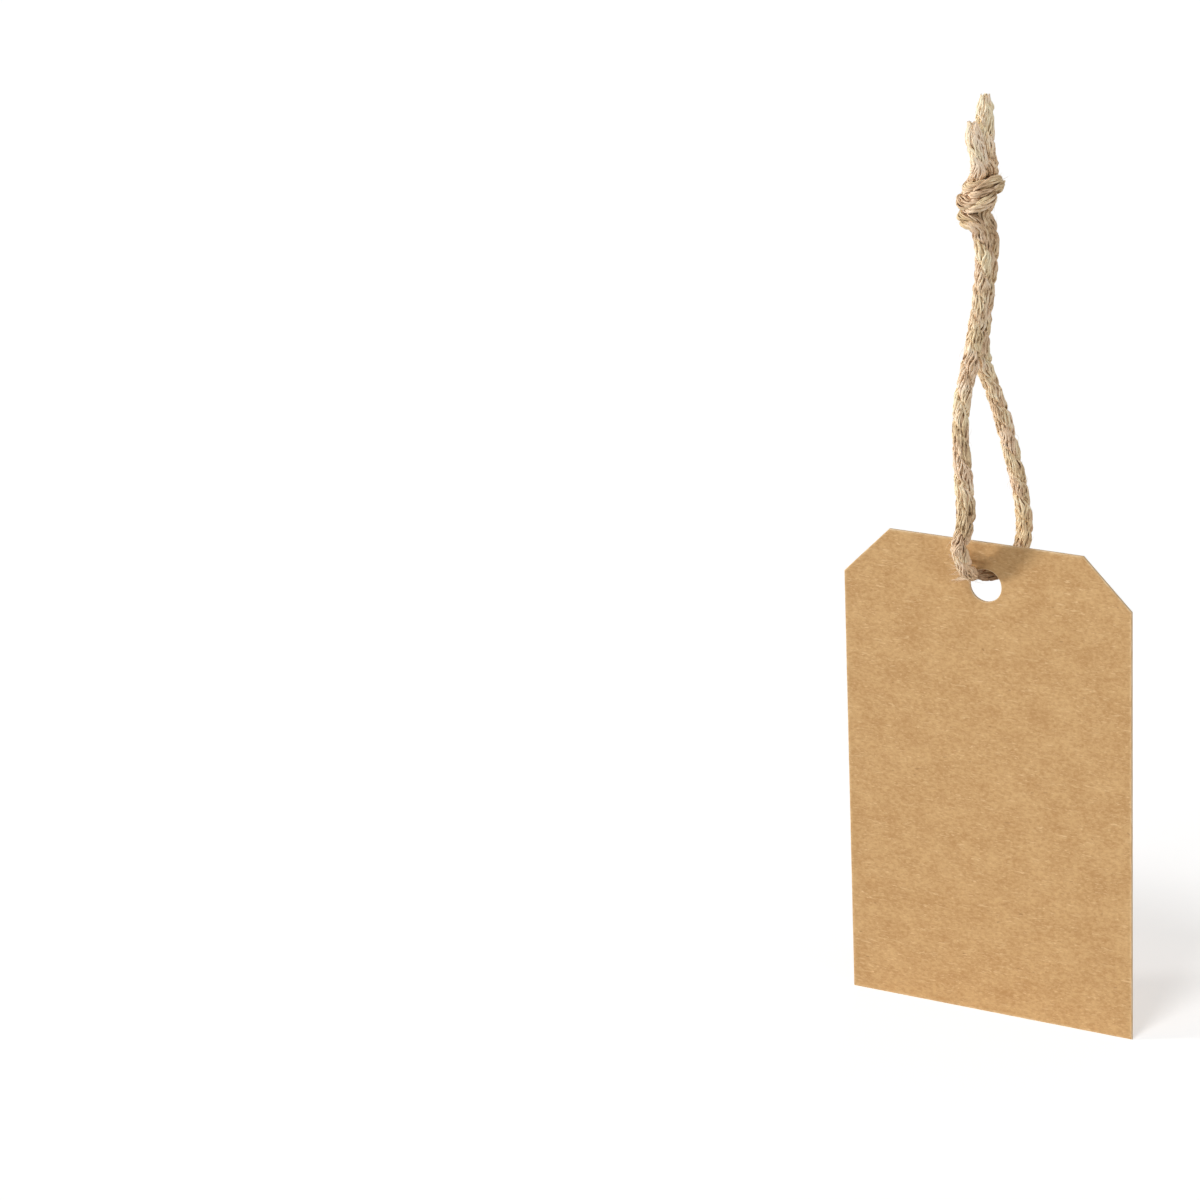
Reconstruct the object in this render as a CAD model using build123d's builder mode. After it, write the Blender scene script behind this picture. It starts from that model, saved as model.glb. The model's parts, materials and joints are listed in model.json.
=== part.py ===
import math
import os

from build123d import *

# A kraft gift tag on a knotted loop of jute twine, hanging from its knot, in millimetres.
# The origin is just under the knot, on the plumb line through the hole of the card.
# +X is across the card, -Y is the card's front and +Z is up.

# Driving dimensions of the card
card_width = 55.0
card_height = 90.0
card_thickness = 0.5
corner_cut = 9.0
hole_diameter = 6.0
hole_below_top = 8.0
hole_drop = 64.0

# Driving dimensions of the twine
twine_diameter = 2.8
hole_clearance = 0.2
strand_spacing = 2.9
twist_drop = 14.0
bight_drop = 57.0
joint_gap = 0.1
socket_gap = 0.2

# Driving dimensions of the knot and the two cut ends
knot_bottom = 0.75
knot_top = 10.6
core_length = 5.8
core_width = 3.0
wrap_ring = 2.45
wrap_radius = 1.4
wrap_tilt = 20.0
wrap_heights = (2.9, 5.2, 7.6)
wrap_x = -0.25
core_x = 0.3
mouth_x = 0.7
tail_end_round = 0.7

# Derived dimensions
twine_radius = twine_diameter / 2
hole_z = -hole_drop
card_top = hole_z + hole_below_top
card_bottom = card_top - card_height
bight_z = hole_z + hole_diameter / 2 - twine_radius - hole_clearance
half_pair = strand_spacing / 2
loop_top = -twist_drop - joint_gap

# The route of the twine, point by point: down the front leg, through the hole and up the back leg
loop_route = [
    (0.35, -half_pair, loop_top),
    (0.35, -half_pair, -17.2),
    (-1.1, -1.7, -22.0),
    (-2.7, -4.2, -31.0),
    (-2.4, -4.1, -43.0),
    (-1.9, -3.5, -51.5),
    (-3.4, -2.9, -56.5),
    (-3.2, -2.8, -59.6),
    (-1.15, -2.2, bight_z),
    (1.35, 2.5, bight_z),
    (2.8, 5.5, -61.0),
    (3.9, 7.9, -57.8),
    (4.1, 8.3, -51.5),
    (2.7, 5.9, -42.0),
    (0.75, 3.0, -29.5),
    (-0.6, 1.6, -21.4),
    (-0.05, half_pair, -17.2),
    (-0.05, half_pair, loop_top),
]

# The two strands under the knot, from the knot down to the start of the loop
front_route = [
    (mouth_x, -half_pair, 0.0),
    (0.95, -half_pair, -6.0),
    (0.35, -half_pair, -11.0),
    (0.35, -half_pair, -twist_drop),
]
back_route = [
    (mouth_x, half_pair, 0.0),
    (0.75, half_pair, -6.0),
    (-0.05, half_pair, -11.0),
    (-0.05, half_pair, -twist_drop),
]

# The two cut ends above the knot
long_route = [
    (core_x, half_pair, knot_top),
    (core_x, half_pair, 13.4),
    (0.8, 1.3, 17.6),
    (0.2, 1.5, 23.4),
]
short_route = [
    (core_x, -half_pair, knot_top),
    (core_x, -half_pair, 13.2),
    (-0.6, -1.6, 16.2),
    (-0.8, -1.5, 18.8),
]


def corner_radii(route):
    """The largest even arc for each corner of a route: 0.45 of the shorter run over tan of half the turn."""
    points = [Vector(*point) for point in route]
    radii = []
    for before, here, after in zip(points, points[1:], points[2:]):
        run_in = here - before
        run_out = after - here
        half_turn = math.radians(run_in.get_angle(run_out)) / 2
        radii.append(0.45 * min(run_in.length, run_out.length) / math.tan(half_turn))
    return radii


# The flat card with its clipped top corners and its punched hole
with BuildPart() as card:
    with BuildSketch(Plane.XZ):
        with BuildLine():
            Polyline(
                (-card_width / 2, card_bottom),
                (card_width / 2, card_bottom),
                (card_width / 2, card_top - corner_cut),
                (card_width / 2 - corner_cut, card_top),
                (-card_width / 2 + corner_cut, card_top),
                (-card_width / 2, card_top - corner_cut),
                close=True,
            )
        make_face()
        with Locations((0, hole_z)):
            Circle(hole_diameter / 2, mode=Mode.SUBTRACT)
    extrude(amount=card_thickness / 2, both=True)

# The whole loop as one tube, from the front strand through the hole to the back strand
loop_radii = corner_radii(loop_route)
with BuildPart() as loop_tube:
    with BuildLine() as loop_line:
        FilletPolyline(*loop_route, radius=loop_radii)
    with BuildSketch(Plane(loop_line.line @ 0, z_dir=loop_line.line % 0)):
        Circle(twine_radius)
    sweep(path=loop_line.line)

# The turn through the hole, below the two legs
with BuildPart() as bight:
    add(loop_tube.part)
    split(bisect_by=Plane.XY.offset(-bight_drop), keep=Keep.BOTTOM)

# The two legs, divided from each other by the plane of the card
with BuildPart() as legs:
    add(loop_tube.part)
    split(bisect_by=Plane.XY.offset(-bight_drop), keep=Keep.TOP)
with BuildPart() as leg_front:
    add(legs.part.solids().sort_by(Axis.Y)[0])
with BuildPart() as leg_back:
    add(legs.part.solids().sort_by(Axis.Y)[-1])

# The front strand under the knot, with a round top that turns in the knot's mouth
front_radii = corner_radii(front_route)
with BuildPart() as strand_front:
    with BuildLine() as front_line:
        FilletPolyline(*front_route, radius=front_radii)
    with BuildSketch(Plane(front_line.line @ 0, z_dir=front_line.line % 0)):
        Circle(twine_radius)
    sweep(path=front_line.line)
    with Locations(front_route[0]):
        Sphere(twine_radius)

# The back strand under the knot
back_radii = corner_radii(back_route)
with BuildPart() as strand_back:
    with BuildLine() as back_line:
        FilletPolyline(*back_route, radius=back_radii)
    with BuildSketch(Plane(back_line.line @ 0, z_dir=back_line.line % 0)):
        Circle(twine_radius)
    sweep(path=back_line.line)
    with Locations(back_route[0]):
        Sphere(twine_radius)

# The knot: both strands run up through three slanting wraps, with a round mouth below for the two strands
with BuildPart() as knot:
    with BuildSketch(Plane.XY.offset(knot_bottom)):
        with Locations((core_x, 0)):
            SlotOverall(core_length, core_width, rotation=90)
    extrude(amount=knot_top - knot_bottom)
    for height in wrap_heights:
        with Locations(Location((wrap_x, 0, height), (0, -wrap_tilt, 0))):
            Torus(wrap_ring, wrap_radius)
    split(bisect_by=Plane.XY.offset(knot_bottom), keep=Keep.TOP)
    with BuildSketch(Plane.XZ):
        with Locations((mouth_x, 0)):
            Circle(twine_radius + socket_gap)
    extrude(amount=core_length, both=True, mode=Mode.SUBTRACT)

# The long cut end
long_radii = corner_radii(long_route)
with BuildPart() as tail_long:
    with BuildLine() as long_line:
        FilletPolyline(*long_route, radius=long_radii)
    with BuildSketch(Plane(long_line.line @ 0, z_dir=long_line.line % 0)):
        Circle(twine_radius)
    sweep(path=long_line.line)
    fillet(tail_long.faces().sort_by(Axis.Z)[-1].edges(), tail_end_round)

# The short cut end
short_radii = corner_radii(short_route)
with BuildPart() as tail_short:
    with BuildLine() as short_line:
        FilletPolyline(*short_route, radius=short_radii)
    with BuildSketch(Plane(short_line.line @ 0, z_dir=short_line.line % 0)):
        Circle(twine_radius)
    sweep(path=short_line.line)
    fillet(tail_short.faces().sort_by(Axis.Z)[-1].edges(), tail_end_round)

# The corner radii of each stretch, and each tube's volume against its section times its length
section = math.pi * twine_radius**2
print("loop radii", [round(radius, 1) for radius in loop_radii])
print("strand radii", [round(radius, 1) for radius in front_radii + back_radii])
print("tail radii", [round(radius, 1) for radius in long_radii + short_radii])
print("loop length", round(loop_line.wire().length, 1))
print("loop volume", round(loop_tube.part.volume, 1), "section x length", round(section * loop_line.wire().length, 1))
strand_lengths = [front_line.wire().length, back_line.wire().length, long_line.wire().length, short_line.wire().length]
print("strand and tail lengths", [round(length, 1) for length in strand_lengths])

# One file for each piece
os.makedirs("parts", exist_ok=True)

card.part.label = "card"
export_step(card.part, "parts/card.step")
bight.part.label = "bight"
export_step(bight.part, "parts/bight.step")
leg_front.part.label = "leg_front"
export_step(leg_front.part, "parts/leg_front.step")
leg_back.part.label = "leg_back"
export_step(leg_back.part, "parts/leg_back.step")
strand_front.part.label = "strand_front"
export_step(strand_front.part, "parts/strand_front.step")
strand_back.part.label = "strand_back"
export_step(strand_back.part, "parts/strand_back.step")
knot.part.label = "knot"
export_step(knot.part, "parts/knot.step")
tail_long.part.label = "tail_long"
export_step(tail_long.part, "parts/tail_long.step")
tail_short.part.label = "tail_short"
export_step(tail_short.part, "parts/tail_short.step")
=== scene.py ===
"""Looks of the gift tag: a kraft board tag on a knotted loop of two-ply jute twine."""

import json
import math

import bpy
import numpy as np
from mathutils import Matrix, Vector


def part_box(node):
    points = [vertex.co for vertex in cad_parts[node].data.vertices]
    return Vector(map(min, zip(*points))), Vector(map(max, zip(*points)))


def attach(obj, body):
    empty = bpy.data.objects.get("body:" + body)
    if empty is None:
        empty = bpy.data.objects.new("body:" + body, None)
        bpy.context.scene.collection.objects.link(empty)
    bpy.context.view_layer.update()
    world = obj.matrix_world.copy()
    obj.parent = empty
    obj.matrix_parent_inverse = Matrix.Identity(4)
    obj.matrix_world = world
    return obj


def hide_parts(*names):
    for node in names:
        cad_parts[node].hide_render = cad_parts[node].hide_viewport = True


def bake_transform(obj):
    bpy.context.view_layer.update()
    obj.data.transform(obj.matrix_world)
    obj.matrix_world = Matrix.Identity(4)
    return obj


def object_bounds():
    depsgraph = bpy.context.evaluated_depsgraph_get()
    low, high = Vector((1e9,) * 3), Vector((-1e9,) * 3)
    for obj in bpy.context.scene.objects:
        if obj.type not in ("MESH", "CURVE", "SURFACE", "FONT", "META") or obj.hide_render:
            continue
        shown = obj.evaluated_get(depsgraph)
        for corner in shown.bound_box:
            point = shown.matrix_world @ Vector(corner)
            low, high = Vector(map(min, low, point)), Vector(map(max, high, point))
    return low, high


# Shapes are laid out in millimetres, and turn into metres where their meshes are built
MM = 0.001


def millimetres(place):
    """A place of the frame in millimetres, to the nearest thousandth."""
    return [round(value / MM, 3) for value in place]


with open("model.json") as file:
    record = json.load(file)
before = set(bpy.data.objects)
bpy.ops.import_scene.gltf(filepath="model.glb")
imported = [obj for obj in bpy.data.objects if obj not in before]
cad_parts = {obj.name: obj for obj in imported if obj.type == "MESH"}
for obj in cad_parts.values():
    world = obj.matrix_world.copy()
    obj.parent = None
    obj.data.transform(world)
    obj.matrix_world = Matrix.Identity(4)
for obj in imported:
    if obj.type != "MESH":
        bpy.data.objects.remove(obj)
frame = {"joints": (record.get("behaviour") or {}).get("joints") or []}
cad_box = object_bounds()
card_low, card_high = (millimetres(corner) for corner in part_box("card"))
joint_places = {joint["name"]: millimetres(joint["pos_m"]) for joint in frame["joints"]}

scene = bpy.context.scene
scene.view_settings.view_transform = "Standard"
rng = np.random.default_rng(20)


# The camera, found from the six corners of the card in the photograph
VIEW_YAW = math.radians(30.219)
VIEW_PITCH = math.radians(20.290)
VIEW_ROLL = math.radians(-2.503)
VIEW_PLACE = (0.31479, -0.67425, 0.21039)
VIEW_NEAREST = 0.01
SENSOR_WIDTH = 36
LENS = 136.03


def make_camera():
    """A camera that looks at the front of the card from its right and from above."""
    ahead = Vector((
        -math.sin(VIEW_YAW) * math.cos(VIEW_PITCH),
        math.cos(VIEW_YAW) * math.cos(VIEW_PITCH),
        -math.sin(VIEW_PITCH),
    ))
    level = Vector((math.cos(VIEW_YAW), math.sin(VIEW_YAW), 0))
    above = level.cross(ahead)
    right = level * math.cos(VIEW_ROLL) + above * math.sin(VIEW_ROLL)
    up = above * math.cos(VIEW_ROLL) - level * math.sin(VIEW_ROLL)
    data = bpy.data.cameras.new("camera")
    data.sensor_width = SENSOR_WIDTH
    data.lens = LENS
    data.clip_start = VIEW_NEAREST
    camera = bpy.data.objects.new("camera", data)
    turn = Matrix((right, up, -ahead)).transposed().to_4x4()
    camera.matrix_world = Matrix.Translation(VIEW_PLACE) @ turn
    scene.collection.objects.link(camera)
    scene.camera = camera


# Short calls for shader nodes
class Shading:
    """A node tree, emptied, with a short call for each kind of node that is used here."""

    def __init__(self, tree):
        self.nodes = tree.nodes
        self.links = tree.links
        self.nodes.clear()

    def add(self, kind):
        """A new node of a kind."""
        return self.nodes.new("ShaderNode" + kind)

    def join(self, value, socket):
        """Links a socket to another node's output, or sets it to a number or a colour."""
        if isinstance(value, bpy.types.NodeSocket):
            self.links.new(value, socket)
        else:
            socket.default_value = value

    def fill(self, node, values):
        """Joins several inputs of a node, given by their names."""
        for name, value in values.items():
            self.join(value, node.inputs[name])

    def surface(self):
        """The main shader of a material, joined to its output."""
        shader = self.add("BsdfPrincipled")
        self.join(shader.outputs["BSDF"], self.add("OutputMaterial").inputs["Surface"])
        return shader

    def attribute(self, name):
        """A value that the mesh carries at its points."""
        node = self.add("Attribute")
        node.attribute_name = name
        return node

    def stretch(self, where, scale, lean=0.0, shift=(0, 0, 0)):
        """Coordinates scaled along each axis, leaned about Y by an angle in degrees, and shifted."""
        node = self.add("Mapping")
        turn = (0, math.radians(lean), 0)
        self.fill(node, {"Vector": where, "Scale": scale, "Rotation": turn, "Location": shift})
        return node.outputs["Vector"]

    def noise(self, where, scale, detail, rough=0.5, distort=0.0):
        """Cloudy noise from 0 to 1, about 0.5 on the whole."""
        node = self.add("TexNoise")
        self.fill(node, {"Vector": where, "Scale": scale, "Detail": detail})
        self.fill(node, {"Roughness": rough, "Distortion": distort})
        return node.outputs["Fac"]

    def span(self, value, low, high, to_low=0.0, to_high=1.0):
        """A value eased from one range into another, and held at its ends."""
        node = self.add("MapRange")
        node.interpolation_type = "SMOOTHSTEP"
        self.fill(node, {"Value": value, "From Min": low, "From Max": high})
        self.fill(node, {"To Min": to_low, "To Max": to_high})
        return node.outputs["Result"]

    def combine(self, kind, first, second):
        """One step of arithmetic on two values."""
        node = self.add("Math")
        node.operation = kind
        self.join(first, node.inputs[0])
        self.join(second, node.inputs[1])
        return node.outputs[0]

    def mix(self, share, under, over, kind="MIX"):
        """One colour laid over another by a share."""
        node = self.add("Mix")
        node.data_type = "RGBA"
        node.blend_type = kind
        # The node's colours are its inputs 6 and 7 and its output 2
        self.join(share, node.inputs[0])
        self.join(under, node.inputs[6])
        self.join(over, node.inputs[7])
        return node.outputs[2]

    def bump(self, shader, height, depth, strength):
        """Small relief on a surface, with its depth in metres."""
        node = self.add("Bump")
        self.fill(node, {"Height": height, "Distance": depth, "Strength": strength})
        self.join(node.outputs["Normal"], shader.inputs["Normal"])

    def seen(self):
        """1 for what is seen, straight, mirrored or through glass, and 0 for soft light on the object."""
        rays = self.add("LightPath").outputs
        indirect = self.combine("MAXIMUM", rays["Is Glossy Ray"], rays["Is Transmission Ray"])
        return self.combine("MAXIMUM", rays["Is Camera Ray"], indirect)


def new_material(name):
    """A material and the shading of its node tree."""
    material = bpy.data.materials.new(name)
    material.use_nodes = True
    return material, Shading(material.node_tree)


def tint(red, green, blue):
    """A colour given as a screen shows it, 0 to 255, in the linear form that a shader takes."""
    def linear(level):
        level /= 255
        return level / 12.92 if level <= 0.04045 else ((level + 0.055) / 1.055) ** 2.4
    return (linear(red), linear(green), linear(blue), 1.0)


# Kraft board
PULP_DARK = tint(183, 140, 91)
PULP_LIGHT = tint(211, 172, 121)
FIBRE_LIGHT = tint(236, 204, 157)
FIBRE_DARK = tint(170, 128, 82)
FLECK_DARK = tint(140, 102, 66)
WORN_EDGE = tint(233, 203, 158)
# The cut edge: the board's paler inner layers, lightened further as painted light along the edge
CUT_DARK = tint(206, 170, 124)
CUT_LIGHT = tint(246, 224, 190)


def kraft_material():
    """Uncoated board: cloudy pulp, fibres that lie mostly across, flecks, a pale worn edge, and a pale
    cut edge that is partly painted light.
    """
    material, shading = new_material("kraft_board")
    shader = shading.surface()
    where = shading.add("TexCoord").outputs["Object"]
    rim = shading.attribute("rim").outputs["Fac"]
    worn = shading.attribute("worn").outputs["Fac"]

    cloud = shading.noise(shading.stretch(where, (0.8, 1, 1)), scale=210, detail=3)
    drawn_out = shading.stretch(where, (0.62, 1, 1))
    fibre = shading.noise(drawn_out, scale=2300, detail=3, rough=0.6, distort=0.3)
    lying = shading.stretch(where, (0.14, 1, 1), lean=6)
    streak = shading.noise(lying, scale=3400, detail=1, distort=1.6)
    leaning = shading.stretch(where, (0.16, 1, 1), lean=-31, shift=(0.03, 0, 0.05))
    cross = shading.noise(leaning, scale=3100, detail=1, distort=0.6)
    rising = shading.stretch(where, (0.13, 1, 1), lean=48, shift=(0.07, 0, 0.01))
    stray = shading.noise(rising, scale=3300, detail=1, distort=1.6)
    scattered = shading.stretch(where, (0.5, 1, 1), lean=20, shift=(0.11, 0, 0.02))
    fleck = shading.noise(scattered, scale=1500, detail=0, rough=0.4)

    cloud_share = shading.combine("MULTIPLY", cloud, 0.38)
    pulp = shading.combine("ADD", cloud_share, shading.combine("MULTIPLY", fibre, 0.62))
    colour = shading.mix(shading.span(pulp, 0.26, 0.74), PULP_DARK, PULP_LIGHT)
    colour = shading.mix(shading.span(streak, 0.65, 0.73, to_high=0.45), colour, FIBRE_LIGHT)
    colour = shading.mix(shading.span(stray, 0.66, 0.73, to_high=0.5), colour, FIBRE_LIGHT)
    colour = shading.mix(shading.span(cross, 0.66, 0.78, to_high=0.3), colour, FIBRE_DARK)
    colour = shading.mix(shading.span(fleck, 0.84, 0.90, to_high=0.45), colour, FLECK_DARK)

    chip = shading.noise(where, scale=900, detail=2, rough=0.6)
    scuff = shading.combine("MULTIPLY", worn, shading.span(chip, 0.40, 0.62, 0.12, 0.5))
    colour = shading.mix(scuff, colour, WORN_EDGE)
    # Painted light: the cut edge is paler than the board's inner layers alone would make it, as if
    # catching light
    ply = shading.noise(shading.stretch(where, (0.25, 9, 0.25)), scale=1400, detail=2, rough=0.6)
    cut = shading.mix(shading.span(ply, 0.35, 0.65), CUT_DARK, CUT_LIGHT)
    colour = shading.mix(shading.combine("MULTIPLY", rim, 0.85), colour, cut)

    shading.join(colour, shader.inputs["Base Color"])
    shading.join(shading.span(fibre, 0.3, 0.7, 0.94, 0.80), shader.inputs["Roughness"])
    shading.join(0.22, shader.inputs["Specular IOR Level"])
    raised = shading.combine("MULTIPLY", shading.combine("ADD", streak, stray), 0.4)
    shading.bump(shader, shading.combine("ADD", fibre, raised), depth=0.00003, strength=0.5)
    return material


# Jute twine
JUTE_DARKEST = tint(150, 117, 84)
JUTE_BETWEEN = ((0.3, tint(205, 176, 139)), (0.55, tint(236, 211, 177)), (0.8, tint(250, 230, 199)))
JUTE_PALEST = tint(255, 242, 217)
CAST_ROSY = tint(255, 249, 250)
CAST_GREEN = tint(254, 254, 245)


def jute_material():
    """Fibres in their own tones, speckled along their length, with dark specks of painted shade in the
    gaps between fibres.
    """
    material, shading = new_material("jute_twine")
    shader = shading.surface()
    tone = shading.attribute("tone").outputs["Fac"]
    run = shading.attribute("run").outputs["Vector"]

    fine = shading.noise(shading.stretch(run, (1.1, 1.0, 1.4)), scale=1, detail=3, rough=0.6)
    # Painted shade: dark specks that stand for the shade in small gaps between fibres
    gap_places = shading.stretch(run, (1.25, 0.8, 0.35), shift=(7, 3, 5))
    gap_shade = shading.noise(gap_places, scale=1, detail=2, rough=0.55)
    level = shading.combine("ADD", tone, shading.span(fine, 0.25, 0.75, -0.16, 0.16))
    level = shading.combine("ADD", level, shading.span(gap_shade, 0.56, 0.68, 0, -0.46))

    ramp = shading.add("ValToRGB")
    stops = ramp.color_ramp.elements
    stops[0].color = JUTE_DARKEST
    stops[1].color = JUTE_PALEST
    for place, colour in JUTE_BETWEEN:
        stops.new(place).color = colour
    shading.join(level, ramp.inputs["Fac"])
    hue = shading.noise(shading.stretch(run, (0.16, 0.05, 0.1)), scale=1, detail=1)
    cast = shading.mix(shading.span(hue, 0.35, 0.65), CAST_ROSY, CAST_GREEN)

    shading.join(shading.mix(1.0, ramp.outputs["Color"], cast, "MULTIPLY"), shader.inputs["Base Color"])
    shading.join(shading.span(fine, 0.3, 0.7, 0.85, 0.62), shader.inputs["Roughness"])
    shading.join(0.3, shader.inputs["Specular IOR Level"])
    shading.join(0.06, shader.inputs["Sheen Weight"])
    shading.join(0.5, shader.inputs["Sheen Roughness"])
    shading.bump(shader, fine, depth=0.00004, strength=0.5)
    return material


# The route of the twine, from its short cut end through the knot and the hole to its long cut end, in mm.
# The knot is laid out as it is seen, with the picture's right along this direction in X and Y.
PICTURE_RIGHT = (0.8641, 0.5033)


def knot_points(*places):
    """Points of the knot, given across the picture, towards its viewer, and up."""
    right_x, right_y = PICTURE_RIGHT
    return [
        (right_x * across + right_y * near, right_y * across - right_x * near, height)
        for across, near, height in places
    ]


short_tail = knot_points(
    (-1.5, 0.9, 19.3),
    (-1.4, 1.0, 17.0),
    (-0.6, 1.2, 14.0),
)
front_knot = knot_points(
    (-0.35, 0.9, 11.2),
    (-0.5, -0.3, 9.4),
    (-1.4, -1.1, 7.9),
    (-2.1, 0.2, 7.2),
    (-1.6, 2.0, 7.6),
    (0.3, 2.8, 8.4),
    (2.3, 1.8, 8.9),
    (2.9, -0.2, 8.4),
    (1.6, -2.2, 6.0),
    (-0.8, -2.4, 3.6),
    (-2.9, -0.6, 2.7),
    (-2.85, 1.2, 2.3),
    (-1.4, 2.3, 2.1),
)
front_strand = [
    (0.7, -1.45, 0),
    (0.95, -1.45, -6),
    (0.3, -1.45, -11),
    (-0.05, -1.45, -14),
]
loop = [
    (-0.6, -1.45, -17.2),
    (-1.65, -1.95, -23.8),
    (-2.7, -4.2, -31),
    (-1.8, -5.0, -42.8),
    (-0.85, -5.5, -50.4),
    (-2.75, -5.2, -55.4),
    (-2.7, -4.1, -58.2),
    (-2.65, -2.8, -60.4),
    (-2.0, -1.3, -62.1),
    (-1.6, 1.1, -62.5),
    (0.2, 2.7, -62.5),
    (2.0, 4.3, -61.7),
    (3.4, 6.6, -59.8),
    (3.75, 8.1, -56.8),
    (3.6, 8.2, -51.5),
    (2.7, 5.9, -42),
    (0.85, 3.1, -29.8),
    (-1.2, 1.55, -24.0),
    (-0.9, 1.45, -17.2),
]
back_strand = [
    (-0.35, 1.45, -14),
    (0.1, 1.45, -11),
    (0.75, 1.45, -6),
    (0.95, 1.5, 0),
]
back_knot = knot_points(
    (0.9, 0.3, 1.6),
    (-0.2, 0.2, 3.0),
    (1.2, -0.9, 4.8),
    (1.35, 0.2, 6.3),
    (1.1, 2.2, 6.1),
    (-0.6, 2.7, 5.4),
    (-2.5, 1.8, 5.0),
    (-3.2, 0.0, 5.3),
    (-2.2, -1.9, 5.8),
    (-0.2, -2.6, 7.0),
    (1.5, -1.6, 8.8),
    (1.8, -0.5, 10.8),
)
long_tail = knot_points(
    (1.1, -0.8, 12.6),
    (0.85, -0.9, 15.0),
    (0.8, -0.9, 20.0),
    (0.95, -0.9, 23.5),
)
twine_route = short_tail + front_knot + front_strand + loop + back_strand + back_knot + long_tail


def line_points(route):
    """The smooth line of a route, as points read from its spline."""
    curve = bpy.data.curves.new("line", "CURVE")
    curve.dimensions = "3D"
    curve.resolution_u = 32
    spline = curve.splines.new("NURBS")
    spline.points.add(len(route) - 1)
    for point, place in zip(spline.points, route):
        point.co = (*place, 1)
    spline.order_u = 3
    spline.use_endpoint_u = True
    holder = bpy.data.objects.new("line", curve)
    mesh = bpy.data.meshes.new_from_object(holder)
    points = np.array([vertex.co for vertex in mesh.vertices])
    bpy.data.objects.remove(holder)
    bpy.data.curves.remove(curve)
    bpy.data.meshes.remove(mesh)
    return points


def even(points, step):
    """Points at even steps along a line, and how far along it each of them is."""
    along = np.concatenate([[0], np.cumsum(np.linalg.norm(np.diff(points, axis=0), axis=1))])
    stops = np.linspace(0, along[-1], int(round(along[-1] / step)) + 1)
    return np.stack([np.interp(stops, along, points[:, k]) for k in range(3)], axis=1), stops


def frames(points):
    """The way ahead at each point of a line, and two ways across it, carried along without twist."""
    ahead = np.gradient(points, axis=0)
    ahead /= np.linalg.norm(ahead, axis=1)[:, None]
    slanted = (0.3, 0.9, 0.2)
    side = np.cross(ahead[0], slanted)
    sides = []
    for way in ahead:
        side = side - way * np.dot(side, way)
        side /= np.linalg.norm(side)
        sides.append(side)
    sides = np.array(sides)
    return ahead, sides, np.cross(ahead, sides)


# Numbers that change smoothly along the twine
def smooth_step(share):
    """A share held between 0 and 1, and eased at both."""
    share = np.clip(share, 0, 1)
    return share * share * (3 - 2 * share)


def rise(values, start, reach):
    """0 up to a start, and 1 from a reach above it."""
    return smooth_step((values - start) / reach)


def fall(values, start, reach):
    """0 down to a start, and 1 from a reach below it."""
    return smooth_step((start - values) / reach)


def hump(values, middle, reach):
    """1 at a middle, and little beyond twice the reach from it."""
    return np.exp(-(((values - middle) / reach) ** 2))


# The waves of a wandering number: how many, the spread of their lengths and starts, how they weaken from
# the longest to the shortest, and about how high their sum comes
WAVES = 5
WAVE_SPREAD = (0.7, 1.3)
WAVE_STARTS = (0, 6.28)
WAVE_FADE = 0.7
WAVE_SUM = 1.6


def wander(along, longest, size):
    """A wandering number: waves of random lengths and starts, the longest the strongest."""
    total = np.zeros_like(along)
    for wave in range(1, WAVES + 1):
        turned = 2 * math.pi * along * wave * rng.uniform(*WAVE_SPREAD) / longest
        total += np.sin(turned + rng.uniform(*WAVE_STARTS)) / wave ** WAVE_FADE
    return size * total / WAVE_SUM


class Strands:
    """Thin tubes gathered into one mesh, with a tone and a run of coordinates at each point."""

    def __init__(self):
        self.points, self.faces, self.tones, self.runs = [], [], [], []
        self.count = 0

    def tube(self, line, radius, tone, along, mark, sides=6):
        """A tube round a line. The mark sets it apart from its neighbours in the material's noise."""
        _, one, two = frames(line)
        angle = np.arange(sides) * 2 * math.pi / sides
        ring = one[:, None, :] * np.cos(angle)[None, :, None]
        ring = ring + two[:, None, :] * np.sin(angle)[None, :, None]
        places = line[:, None, :] + ring * radius[:, None, None]
        run = np.empty((len(line), sides, 3))
        run[:, :, 0] = along[:, None]
        run[:, :, 1] = mark
        run[:, :, 2] = np.sin(angle)[None, :] + mark
        self.points.append(places.reshape(-1, 3))
        self.tones.append(np.repeat(tone, sides))
        self.runs.append(run.reshape(-1, 3))
        start = np.arange(len(line) - 1)[:, None] * sides
        here = np.arange(sides)[None, :]
        beside = (here + 1) % sides
        corners = (start + here, start + beside, start + sides + beside, start + sides + here)
        self.faces.append(np.stack(corners, axis=2).reshape(-1, 4) + self.count)
        self.count += len(line) * sides

    def build(self, name, material):
        """The piece that the tubes make together."""
        points = np.concatenate(self.points) * MM
        faces = np.concatenate(self.faces)
        mesh = bpy.data.meshes.new(name)
        mesh.vertices.add(len(points))
        mesh.vertices.foreach_set("co", points.ravel())
        mesh.loops.add(faces.size)
        mesh.loops.foreach_set("vertex_index", faces.ravel())
        mesh.polygons.add(len(faces))
        mesh.polygons.foreach_set("loop_start", np.arange(len(faces)) * 4)
        mesh.polygons.foreach_set("use_smooth", np.ones(len(faces), dtype=bool))
        mesh.update(calc_edges=True)
        tone = mesh.attributes.new("tone", "FLOAT", "POINT")
        tone.data.foreach_set("value", np.concatenate(self.tones))
        run = mesh.attributes.new("run", "FLOAT_VECTOR", "POINT")
        run.data.foreach_set("vector", np.concatenate(self.runs).ravel())
        mesh.materials.append(material)
        piece = bpy.data.objects.new(name, mesh)
        scene.collection.objects.link(piece)
        return piece


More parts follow.
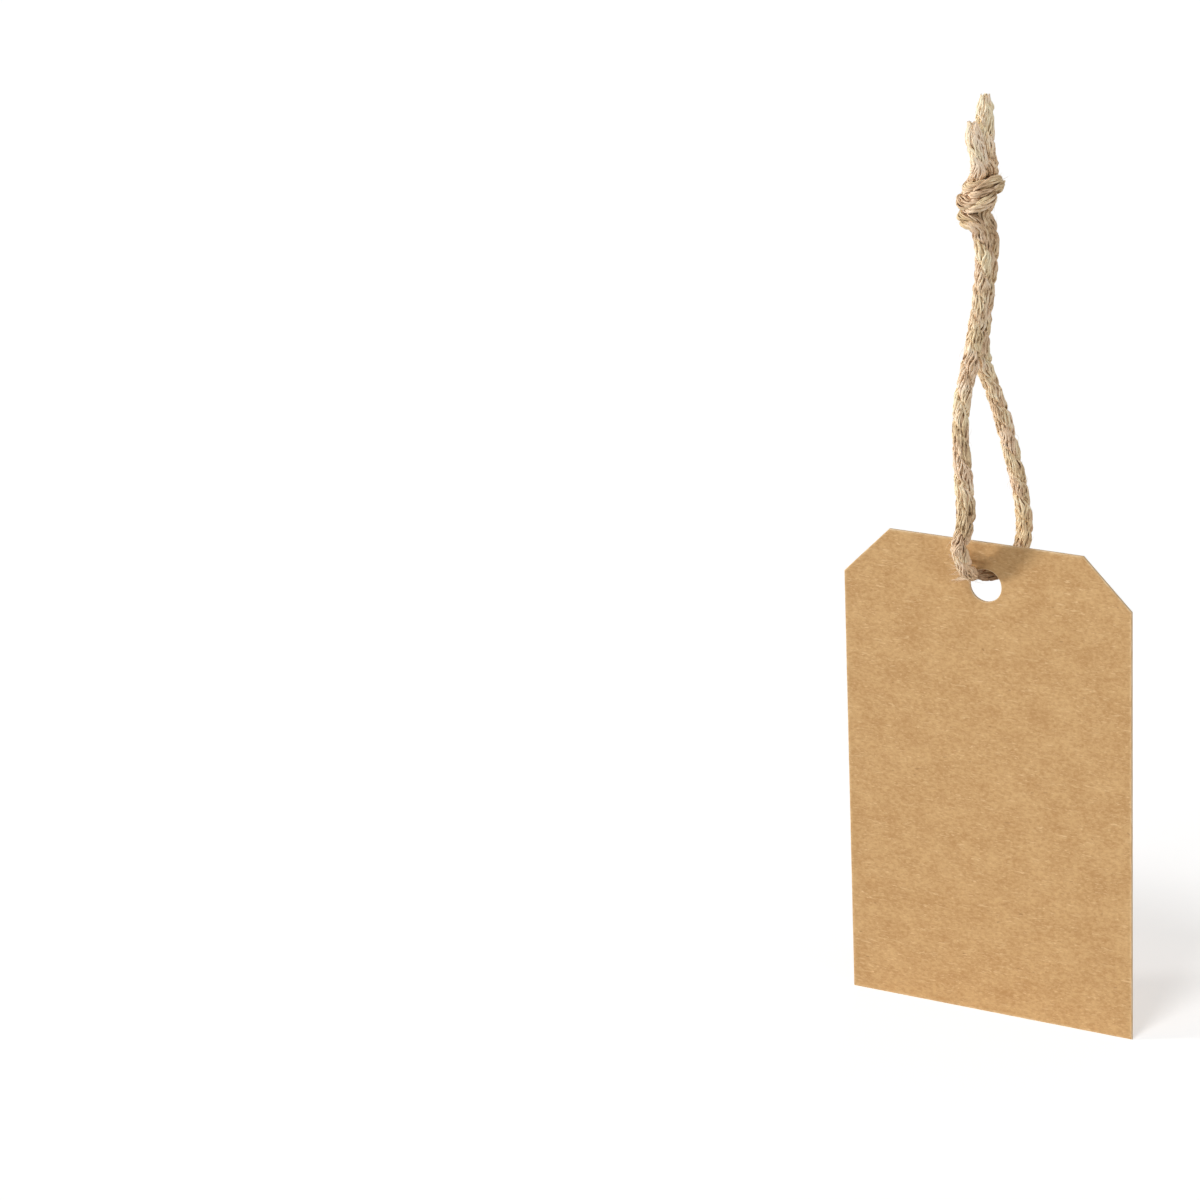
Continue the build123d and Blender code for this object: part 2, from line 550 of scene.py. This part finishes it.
# The make of the twine, in mm: two plies of fibres round a core each, wound round each other
RING_STEP = 0.5
PLY_TURN = 9.6
PLY_OFFSET = 0.51
PLY_DEPTH = 0.99
PLY_BREADTH = 1.52
CORE_RADIUS = 0.58
CORE_SIDES = 8
FIBRES = 27
FIBRE_RADIUS = (0.11, 0.17)
FIBRE_REACH = 0.66
FIBRE_REACH_SPREAD = (-0.06, 0.05)
FIBRE_STRAY = (-0.4, 0.4)
FIBRE_TURNS = 1.5
FIBRES_PER_FLECK = 4

# Marks, which set tubes apart in the material's noise
CORE_MARK = 90
PLY_MARK = 10
FIBRE_MARK = 0.61
HAIR_MARKS = (0, 60)

# Stray hairs, in mm: how many, how they spread in size and tone, and how many of them lie close
HAIRS = 520
HAIR_POINTS = 9
HAIR_MARGIN = 6
HAIR_FOOT = 1.15
HAIR_LENGTH = (0.8, 3.4)
HAIR_RADIUS = (0.02, 0.04)
HAIR_DRIFT = (-0.8, 0.8)
HAIR_ARCH = (0.2, 1.0)
HAIR_TONE = (0.55, 0.95)
CLOSE_HAIRS = 0.88
CLOSE_LIFT = (0.1, 0.55)
LOOSE_LIFT = (0.6, 1.2)

# Distances from the two cut ends, in mm: where cores and fibres stop and how far they taper there, where
# the plies draw together, and how far the twine is loose and bleached
CORE_STOP = 0.3
CORE_TAPER = 0.9
FIBRE_STOP = (-0.7, 1.5)
FIBRE_TAPER = 0.6
DRAWN_END = 2.8
BLEACHED_END = 12.5
LOOSE_END = 13.0

# Shares of the usual size at the cut ends: what is left at a tip, and how much the plies draw in
TIP = 0.02
SHORT_END_DRAWN = 0.42
LONG_END_DRAWN = 0.50

# Heights along the twine, and the depths between which it is in the hole, in mm
KNOT_TOP = 11.5
KNOT_BOTTOM = 0.0
DIVIDE_HEIGHT = -7.5
BACK_LEG_TOP = -18.0
FORK_HEIGHT = -24.5
FORK_FOOT = -32.0
FRONT_FOOT_TOP = -45.0
FULLEST_HEIGHT = -46.0
HOLE_APPROACH = -58.0
HOLE_ENTRY = -60.2
HOLE_NEAR_DEPTH = -1.2
PINCH_DEPTH = 0.1
HOLE_FAR_DEPTH = 4.2

# Changes of the twine's width, as shares of it
TWINE_SCALE = 1.10
KNOT_SQUEEZE = 0.07
LEG_SWELL = 0.20
FORK_SWELL = 0.08
HOLE_PINCH = 0.50
END_LOOSENESS = 0.09

# Tones from 0, dark, to 1, pale, with the range that they stay in and how they change along the twine
# The core's dark tone is painted shade, seen in the gaps between the fibres
CORE_SHADE_TONE = 0.28
FIBRE_TONE = 0.53
FIBRE_TONE_SPREAD = 0.07
TONE_RANGE = (0.05, 1.0)
END_BLEACH = 0.55
END_CALM = 0.45
UNDER_KNOT_BLEACH = 0.11
FORK_BLEACH = 0.06
BACK_LEG_BLEACH = 0.06
FRONT_FOOT_SHADE = 0.06
# Painted shade: the twine in and just behind the hole is darkened as if in the card's shadow
HOLE_PAINTED_SHADE = 0.60


def twine_width(line, along, to_end):
    """How wide the twine is: tight in the knot and the hole, full in the front leg, loose at its ends."""
    _, y, z = line.T
    knotted = rise(z, KNOT_BOTTOM, reach=2) * fall(z, KNOT_TOP, reach=2)
    swell = LEG_SWELL * hump(z, FULLEST_HEIGHT, reach=7) * (y < 0)
    swell += FORK_SWELL * hump(z, FORK_HEIGHT, reach=2.5)
    pinch_reach = np.where(y < PINCH_DEPTH, 1.7, 1.1)
    pinch = HOLE_PINCH * hump(y, PINCH_DEPTH, pinch_reach) * (z < HOLE_APPROACH)
    loose = END_LOOSENESS * fall(to_end, LOOSE_END, reach=4)
    uneven = wander(along, longest=31, size=0.03)
    return TWINE_SCALE * (1 - KNOT_SQUEEZE * knotted) * (1 + loose + swell - pinch + uneven)


def tail_share(to_end):
    """How far each point belongs to one of the two bleached cut ends, by its distance from the end."""
    return fall(to_end, BLEACHED_END, reach=6)


def twine_paleness(line, along, to_end):
    """How much paler than usual the twine is: most at its ends, mottled between, and darkest in the hole,
    where shade is painted on.
    """
    _, y, z = line.T
    front = y < 0
    tail = tail_share(to_end)
    under_knot = fall(z, KNOT_BOTTOM, reach=3)
    above_fork = rise(z, FORK_FOOT, reach=8)
    through = rise(y, HOLE_NEAR_DEPTH, reach=1.3) * fall(y, HOLE_FAR_DEPTH, reach=1.5)
    # Painted shade on the twine where it passes through the hole
    painted_shade_in_hole = through * fall(z, HOLE_ENTRY, reach=1.2)
    front_foot = front * fall(z, FRONT_FOOT_TOP, reach=5)
    back_leg = ~front * fall(z, BACK_LEG_TOP, reach=6)
    mottle = wander(along, longest=14, size=0.07) * (1 - tail)
    paleness = mottle - HOLE_PAINTED_SHADE * painted_shade_in_hole - FRONT_FOOT_SHADE * front_foot + END_BLEACH * tail
    paleness = paleness + UNDER_KNOT_BLEACH * under_knot
    paleness = paleness + FORK_BLEACH * under_knot * above_fork
    return paleness + BACK_LEG_BLEACH * back_leg


class Twine:
    """The whole twine: its line, the stretches that it is divided into, and the fibres laid along it."""

    def __init__(self):
        self.line, self.along = even(line_points(twine_route), RING_STEP)
        self.ahead, self.one, self.two = frames(self.line)
        length = self.along[-1]
        self.to_end = np.minimum(self.along, length - self.along)
        above = self.line[:, 2] - DIVIDE_HEIGHT
        crossings = np.flatnonzero(above[:-1] * above[1:] <= 0) + 1
        first, last = int(crossings[0]), int(crossings[-1])
        self.stretches = {
            "strand_front_twine": (0, first),
            "twine_loop": (first, last),
            "strand_back_twine": (last, len(self.line) - 1),
        }
        self.strands = {name: Strands() for name in self.stretches}
        self.width = twine_width(self.line, self.along, self.to_end)
        self.turn = -2 * math.pi * self.along / PLY_TURN + wander(self.along, longest=40, size=0.25)
        self.paleness = twine_paleness(self.line, self.along, self.to_end)
        # Fibres vary less in tone at the bleached ends, and the plies draw together where they are cut
        self.calm = 1 - END_CALM * tail_share(self.to_end)
        drawn_in = np.where(self.along < length / 2, SHORT_END_DRAWN, LONG_END_DRAWN)
        self.scale = self.width * (1 - drawn_in * fall(self.to_end, DRAWN_END, reach=DRAWN_END))

    def ply_path(self, ply, angle, reach):
        """A path inside one ply, at an angle round it and a reach from its middle."""
        lie = self.turn + ply * math.pi
        out = self.one * np.cos(lie)[:, None] + self.two * np.sin(lie)[:, None]
        over = -self.one * np.sin(lie)[:, None] + self.two * np.cos(lie)[:, None]
        deep = PLY_OFFSET + PLY_DEPTH * np.cos(angle) * reach
        wide = PLY_BREADTH * np.sin(angle) * reach
        return self.line + (out * deep[:, None] + over * wide[:, None]) * self.scale[:, None]

    def lay(self, path, radius, tone, mark, sides=6):
        """A tube along the whole twine, divided between its stretches."""
        tone = np.clip(tone + self.paleness, *TONE_RANGE)
        for name, (start, end) in self.stretches.items():
            part = slice(start, end + 1)
            self.strands[name].tube(path[part], radius[part], tone[part], self.along[part], mark, sides)

    def lay_ply(self, ply):
        """The core and the fibres of one ply."""
        middle = np.zeros_like(self.along)
        # The core is darker than the fibres as painted shade between them
        core = CORE_RADIUS * self.width * np.clip((self.to_end - CORE_STOP) / CORE_TAPER, TIP, 1)
        self.lay(self.ply_path(ply, middle, middle), core, CORE_SHADE_TONE, CORE_MARK + ply, CORE_SIDES)
        patch = wander(self.along, longest=13, size=0.16)
        for k in range(FIBRES):
            if k % FIBRES_PER_FLECK == 0:
                fleck = wander(self.along, longest=2.6, size=0.15)
            angle = 2 * math.pi * (k + rng.uniform(*FIBRE_STRAY)) / FIBRES
            angle = angle + FIBRE_TURNS * 2 * math.pi * self.along / PLY_TURN
            angle = angle + wander(self.along, longest=17, size=0.34)
            reach = FIBRE_REACH + rng.uniform(*FIBRE_REACH_SPREAD)
            reach = reach + wander(self.along, longest=8, size=0.07)
            radius = rng.uniform(*FIBRE_RADIUS) * (1 + wander(self.along, longest=7, size=0.30))
            radius = radius * np.clip((self.to_end - rng.uniform(*FIBRE_STOP)) / FIBRE_TAPER, TIP, 1)
            vary = rng.normal(0, FIBRE_TONE_SPREAD) + wander(self.along, longest=3, size=0.08)
            vary = vary + fleck + patch
            path = self.ply_path(ply, angle, reach)
            self.lay(path, radius, FIBRE_TONE + vary * self.calm, PLY_MARK * ply + FIBRE_MARK * k)

    def lay_hairs(self):
        """Short stray hairs, most of them close to the twine."""
        t = np.linspace(0, 1, HAIR_POINTS)
        for _ in range(HAIRS):
            i = int(rng.integers(HAIR_MARGIN, len(self.line) - HAIR_MARGIN))
            face = rng.uniform(0, 2 * math.pi)
            out = self.one[i] * math.cos(face) + self.two[i] * math.sin(face)
            over = np.cross(self.ahead[i], out)
            length = rng.uniform(*HAIR_LENGTH)
            way = rng.choice((-1, 1)) * self.ahead[i]
            close = rng.random() < CLOSE_HAIRS
            lift = rng.uniform(*CLOSE_LIFT) if close else rng.uniform(*LOOSE_LIFT)
            drift = rng.uniform(*HAIR_DRIFT)
            arch = rng.uniform(*HAIR_ARCH)
            hair = (
                self.line[i]
                + out * (HAIR_FOOT + lift * np.sin(t * math.pi * arch))[:, None]
                + way * (length * t)[:, None]
                + over * (drift * t**1.5)[:, None]
            )
            radius = rng.uniform(*HAIR_RADIUS) * np.clip(1.15 - t, 0.15, 1)
            tone = np.full(len(t), rng.uniform(*HAIR_TONE))
            mark = rng.uniform(*HAIR_MARKS)
            owner = next(name for name, (start, end) in self.stretches.items() if start <= i <= end)
            self.strands[owner].tube(hair, radius, tone, self.along[i] + t, mark, sides=3)

    def build(self, name, material):
        """The piece of one stretch, the path that it follows and its length, in metres."""
        start, end = self.stretches[name]
        piece = self.strands[name].build(name, material)
        return piece, self.line[start : end + 1] * MM, (self.along[end] - self.along[start]) * MM


# Fluff beside the hole, in mm: some starts on the front leg, which leans, and some on the twine below it
FLUFF_POINTS = 10
FLUFF_TONE = (0.72, 1.0)
LEG_FLUFF = 70
LEG_FLUFF_HEIGHT = (-62.2, -58.0)
LEG_FLUFF_END = (-7.2, -5.0)
LEG_FLUFF_RADIUS = (0.02, 0.042)
LEG_FLUFF_X = -3.2
LEG_FOOT_Y = -1.0
LEG_FOOT_Z = -62.1
LEG_LEAN = 0.72
LOW_FLUFF = 14
LOW_FLUFF_HEIGHT = (-63.0, -62.2)
LOW_FLUFF_END = (-7.0, -4.8)
LOW_FLUFF_RADIUS = (0.025, 0.05)
LOW_FLUFF_DROP = (0.5, 1.5)
LOW_FLUFF_X = -2.6
LOW_FLUFF_Y = -1.2


def make_fluff(material):
    """Loose fibres of the loop that leave its front leg and lie against the board beside the hole."""
    fluff = Strands()
    t = np.linspace(0, 1, FLUFF_POINTS)
    board_front = card_low[1]

    def fibre(start, end_x, end_z, radius):
        """A fibre from a point of the leg to a place on the front of the board."""
        on_board = board_front - 0.9 * radius
        x = start[0] + (end_x - start[0]) * t
        y = start[1] + (on_board - start[1]) * smooth_step(t * 1.6)
        z = start[2] + (end_z - start[2]) * t + rng.uniform(-0.5, 0.5) * t * (1 - t)
        tone = np.full(len(t), rng.uniform(*FLUFF_TONE))
        hair = np.stack([x, y, z], axis=1)
        taper = np.clip(1.25 - t, 0.3, 1)
        fluff.tube(hair, radius * taper, tone, t, rng.uniform(*HAIR_MARKS), sides=4)

    for _ in range(LEG_FLUFF):
        height = rng.uniform(*LEG_FLUFF_HEIGHT)
        start = (LEG_FLUFF_X, LEG_FOOT_Y - LEG_LEAN * (height - LEG_FOOT_Z), height)
        end_x = rng.uniform(*LEG_FLUFF_END)
        end_z = height + rng.normal(-0.5, 0.9)
        fibre(start, end_x, end_z, rng.uniform(*LEG_FLUFF_RADIUS))
    for _ in range(LOW_FLUFF):
        height = rng.uniform(*LOW_FLUFF_HEIGHT)
        start = (LOW_FLUFF_X, LOW_FLUFF_Y, height)
        end_x = rng.uniform(*LOW_FLUFF_END)
        end_z = height - rng.uniform(*LOW_FLUFF_DROP)
        fibre(start, end_x, end_z, rng.uniform(*LOW_FLUFF_RADIUS))
    piece = fluff.build("twine_fluff", material)
    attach(piece, "loop")


# The card, in mm: its outline comes from the CAD box, and its hole is round the joint that it swings on
CORNER_CUT = 9.0
HOLE_RADIUS = 3.0
EDGE_ROUND = 0.13
HALF_WIDTH, HALF_THICK, CARD_TOP = card_high
CARD_BOTTOM = card_low[2]
CARD_HEIGHT = CARD_TOP - CARD_BOTTOM
HOLE_Z = joint_places["card_swing"][2]

# Lines of the grid on each face, as shares of the half width and of the height, closer near an edge, with
# one line where the cut corners start
OPENING_SIDE = 0.22
OPENING_LOW = 0.845
OPENING_HIGH = 0.978
CUT_START = 1 - CORNER_CUT / CARD_HEIGHT
BESIDE_HOLE = np.concatenate([np.linspace(0.27, 0.95, 16), [0.985, 1]])
BELOW_HOLE = np.concatenate([[0, 0.005], np.linspace(0.02, 0.82, 60)])
AT_HOLE = np.concatenate([np.linspace(OPENING_LOW, CUT_START, 5), np.linspace(0.913, OPENING_HIGH, 6)])
ACROSS = np.concatenate([-BESIDE_HOLE[::-1], np.linspace(-OPENING_SIDE, OPENING_SIDE, 11), BESIDE_HOLE])
UP = np.concatenate([BELOW_HOLE, AT_HOLE, [0.989, 0.995, 1]])

# The opening in the grid that holds the hole, and the rings between it and the hole's edge
LEFT, RIGHT = len(BESIDE_HOLE), len(ACROSS) - len(BESIDE_HOLE) - 1
LOW, HIGH = len(BELOW_HOLE), len(BELOW_HOLE) + len(AT_HOLE) - 1
HOLE_RINGS = (0.35, 0.65, 0.86, 0.96, 1.0)

# The rounded cut edge from front to back: side, inset, share of the half thickness, and wear
EDGE_PROFILE = (
    (-1, 0.045, 0.985, 1.0),
    (-1, 0.0, 0.74, 0.6),
    (1, 0.0, 0.74, 0.6),
    (1, 0.045, 0.985, 1.0),
)


def around(left, right, low, high):
    """The grid places on the border of a block, once round it."""
    places = [(i, low) for i in range(left, right)]
    places += [(right, j) for j in range(low, high)]
    places += [(i, high) for i in range(right, left, -1)]
    places += [(left, j) for j in range(high, low, -1)]
    return places


def grid_point(i, j, inset, y):
    """A point of the grid, drawn in from the card's outline by an inset."""
    z = CARD_BOTTOM + inset + UP[j] * (CARD_HEIGHT - 2 * inset)
    clipped = HALF_WIDTH + CARD_TOP - CORNER_CUT - z - math.sqrt(2) * inset
    return (ACROSS[i] * min(HALF_WIDTH - inset, clipped), y, z)


def hole_point(angle, inset, y):
    """A point at the edge of the hole, set back from it by an inset."""
    reach = HOLE_RADIUS + inset
    return (reach * math.cos(angle), y, HOLE_Z + reach * math.sin(angle))


def band(near, far):
    """The corners of each face between two closed rows of points: two of the near row, two of the far."""
    for k in range(len(near)):
        after = (k + 1) % len(near)
        yield near[k], near[after], far[after], far[k]


class Board:
    """The mesh of the card, with how far each point is on the cut edge and how worn it is."""

    def __init__(self):
        self.points, self.faces, self.rim, self.worn = [], [], [], []
        self.border = around(0, len(ACROSS) - 1, 0, len(UP) - 1)
        self.opening = around(LEFT, RIGHT, LOW, HIGH)
        middles = [grid_point(i, j, EDGE_ROUND, 0) for i, j in self.opening]
        self.angles = [math.atan2(z - HOLE_Z, x) for x, _, z in middles]

    def add(self, point, rim, worn):
        """Adds a point and gives its number."""
        self.points.append(point)
        self.rim.append(rim)
        self.worn.append(worn)
        return len(self.points) - 1

    def add_face(self, corners, side):
        """Adds a face of the front, or the same face turned over for the back."""
        self.faces.append(corners if side < 0 else corners[::-1])

    def lay_side(self, side):
        """The front or back of the card, as its rows of points at the outer edge and at the hole."""
        y = side * HALF_THICK
        grid = {}
        for j in range(len(UP)):
            for i in range(len(ACROSS)):
                if not (LEFT < i < RIGHT and LOW < j < HIGH):
                    worn = float((i, j) in self.border)
                    grid[i, j] = self.add(grid_point(i, j, EDGE_ROUND, y), rim=0.0, worn=worn)
        for j in range(len(UP) - 1):
            for i in range(len(ACROSS) - 1):
                if not (LEFT <= i < RIGHT and LOW <= j < HIGH):
                    corners = [grid[i, j], grid[i + 1, j], grid[i + 1, j + 1], grid[i, j + 1]]
                    self.add_face(corners, side)
        opening = [grid[place] for place in self.opening]
        outer = opening
        for share in HOLE_RINGS:
            ring = []
            for number, angle in zip(opening, self.angles):
                ends = zip(self.points[number], hole_point(angle, EDGE_ROUND, y))
                point = tuple(start + (end - start) * share for start, end in ends)
                ring.append(self.add(point, rim=0.0, worn=float(share == 1.0)))
            for corners in band(outer, ring):
                self.add_face(list(corners), side)
            outer = ring
        return [grid[place] for place in self.border], outer

    def lay_edges(self, front, back):
        """The rounded cut edge round the card and inside the hole, from the front's rows to the back's.

        A row of points at the outer edge and one at the hole belong to each step of the edge.
        """
        outer_rows, hole_rows = [front[0]], [front[1]]
        for side, inset, share, worn in EDGE_PROFILE:
            y = side * share * HALF_THICK
            outer = [grid_point(i, j, inset, y) for i, j in self.border]
            hole = [hole_point(angle, inset, y) for angle in self.angles]
            outer_rows.append([self.add(point, rim=1.0, worn=worn) for point in outer])
            hole_rows.append([self.add(point, rim=1.0, worn=worn) for point in hole])
        outer_rows.append(back[0])
        hole_rows.append(back[1])
        for near, far in zip(outer_rows, outer_rows[1:]):
            self.faces.extend([a, d, c, b] for a, b, c, d in band(near, far))
        for near, far in zip(hole_rows, hole_rows[1:]):
            self.faces.extend([b, c, d, a] for a, b, c, d in band(near, far))

    def build(self, name, material):
        """The piece that the points and faces make."""
        mesh = bpy.data.meshes.new(name)
        mesh.from_pydata([tuple(value * MM for value in point) for point in self.points], [], self.faces)
        mesh.polygons.foreach_set("use_smooth", np.ones(len(mesh.polygons), dtype=bool))
        for label, values in (("rim", self.rim), ("worn", self.worn)):
            attribute = mesh.attributes.new(label, "FLOAT", "POINT")
            attribute.data.foreach_set("value", np.array(values, dtype=np.float32))
        mesh.materials.append(material)
        mesh.update()
        piece = bpy.data.objects.new(name, mesh)
        scene.collection.objects.link(piece)
        return piece


def make_card(material):
    """The die-cut board, with both faces, its cut edge and its punched hole."""
    board = Board()
    board.lay_edges(board.lay_side(-1), board.lay_side(1))
    piece = board.build("tag_board", material)
    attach(piece, "card")
    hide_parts("card")


# The studio: a white floor just under the card, an even white surround, and four far lamps
FLOOR_HALF = 4.0
FLOOR_GAP = 0.00005
FLOOR_COLOUR = (0.95, 0.95, 0.95, 1)
FLOOR_GLOW = 0.455
WHITE = (1, 1, 1, 1)
SURROUND_LIGHT = 0.225

# Each lamp's name, the direction that it stands in, its breadth in degrees and its strength
LAMPS = (
    ("key", (-0.05, -0.56, 0.825), 16, 0.92),
    ("side", (-0.873, -0.476, 0.105), 9, 2.7),
    ("fill", (0.95, -0.30, 0.08), 30, 0.80),
    ("back", (-0.30, 0.95, 0.03), 5, 1.6),
)


def make_floor():
    """A floor that takes the shadow of the tag, with a glow where it is seen."""
    material, shading = new_material("floor")
    diffuse = shading.add("BsdfDiffuse")
    shading.join(FLOOR_COLOUR, diffuse.inputs["Color"])
    glow = shading.add("Emission")
    shading.join(shading.combine("MULTIPLY", shading.seen(), FLOOR_GLOW), glow.inputs["Strength"])
    both = shading.add("AddShader")
    shading.join(diffuse.outputs["BSDF"], both.inputs[0])
    shading.join(glow.outputs["Emission"], both.inputs[1])
    shading.join(both.outputs["Shader"], shading.add("OutputMaterial").inputs["Surface"])
    corners = [(-FLOOR_HALF, -FLOOR_HALF, 0), (FLOOR_HALF, -FLOOR_HALF, 0)]
    corners += [(FLOOR_HALF, FLOOR_HALF, 0), (-FLOOR_HALF, FLOOR_HALF, 0)]
    mesh = bpy.data.meshes.new("floor")
    mesh.from_pydata(corners, [], [(0, 1, 2, 3)])
    mesh.materials.append(material)
    floor = bpy.data.objects.new("floor", mesh)
    floor.location = (0, 0, cad_box[0][2] - FLOOR_GAP)
    scene.collection.objects.link(floor)


def make_surround():
    """An even soft light from all round, which the camera sees as plain white."""
    world = bpy.data.worlds.new("studio")
    world.use_nodes = True
    scene.world = world
    shading = Shading(world.node_tree)
    soft = shading.add("Background")
    shading.fill(soft, {"Color": WHITE, "Strength": SURROUND_LIGHT})
    white = shading.add("Background")
    shading.fill(white, {"Color": WHITE, "Strength": 1.0})
    pick = shading.add("MixShader")
    shading.join(shading.seen(), pick.inputs[0])
    shading.join(soft.outputs[0], pick.inputs[1])
    shading.join(white.outputs[0], pick.inputs[2])
    shading.join(pick.outputs[0], shading.add("OutputWorld").inputs["Surface"])


def make_lamps():
    """Far lamps, each of which shines from its own direction."""
    for name, towards, breadth, strength in LAMPS:
        data = bpy.data.lights.new(name, "SUN")
        data.angle = math.radians(breadth)
        data.energy = strength
        lamp = bpy.data.objects.new(name, data)
        lamp.matrix_world = Vector(towards).to_track_quat("Z", "Y").to_matrix().to_4x4()
        scene.collection.objects.link(lamp)


def make_twine(material):
    """The twine as three pieces: two strands with their cut ends and wraps, and the loop below them."""
    twine = Twine()
    for ply in (0, 1):
        twine.lay_ply(ply)
    twine.lay_hairs()

    front, front_path, front_length = twine.build("strand_front_twine", material)
    below, loop_path, loop_length = twine.build("twine_loop", material)
    back, back_path, back_length = twine.build("strand_back_twine", material)

    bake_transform(front)
    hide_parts("strand_front", "tail_short", "knot")

    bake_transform(back)
    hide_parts("strand_back", "tail_long")

    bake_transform(below)
    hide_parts("leg_front", "leg_back", "bight")


# The whole scene
make_camera()
make_floor()
make_surround()
make_lamps()
make_card(kraft_material())
jute = jute_material()
make_twine(jute)
make_fluff(jute)
